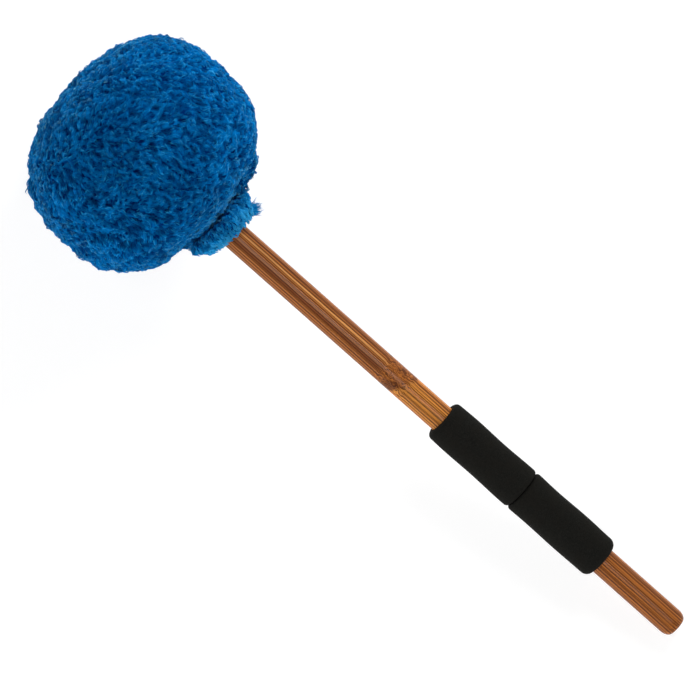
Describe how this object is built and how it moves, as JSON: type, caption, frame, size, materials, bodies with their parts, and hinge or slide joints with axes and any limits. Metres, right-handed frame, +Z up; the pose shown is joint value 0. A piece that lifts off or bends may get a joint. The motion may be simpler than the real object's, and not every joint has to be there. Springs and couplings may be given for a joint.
{
  "type": "gong mallet",
  "caption": "Large soft gong mallet: a weighted, padded head under a gathered fleece cover, on a turned bamboo handle with foam grips.",
  "frame": {"origin": "the middle of the rectangle that the mallet covers on the table, at the table's surface", "axes": "+Z up, +X along the table from the head towards the butt; the handle lies in the XZ plane and drops 8.5 degrees towards the butt"},
  "size_m": [0.4553, 0.1326, 0.1332],
  "materials": {
    "bamboo": "satin",
    "grip_foam": "matte",
    "core_wood": "matte",
    "steel": "satin",
    "felt": "matte",
    "padding_foam": "matte",
    "waxed_cord": "matte",
    "fleece": "matte"
  },
  "bodies": {
    "root": {"bamboo_shaft": "bamboo", "rear_grip": "grip_foam", "front_grip": "grip_foam", "wooden_core": "core_wood", "steel_weight": "steel", "head_washer": "steel", "head_screw": "steel", "felt_band": "felt", "felt_disc": "felt", "foam_padding": "padding_foam", "neck_cord": "waxed_cord", "fleece_cover": "fleece"}
  },
  "joints": []
}
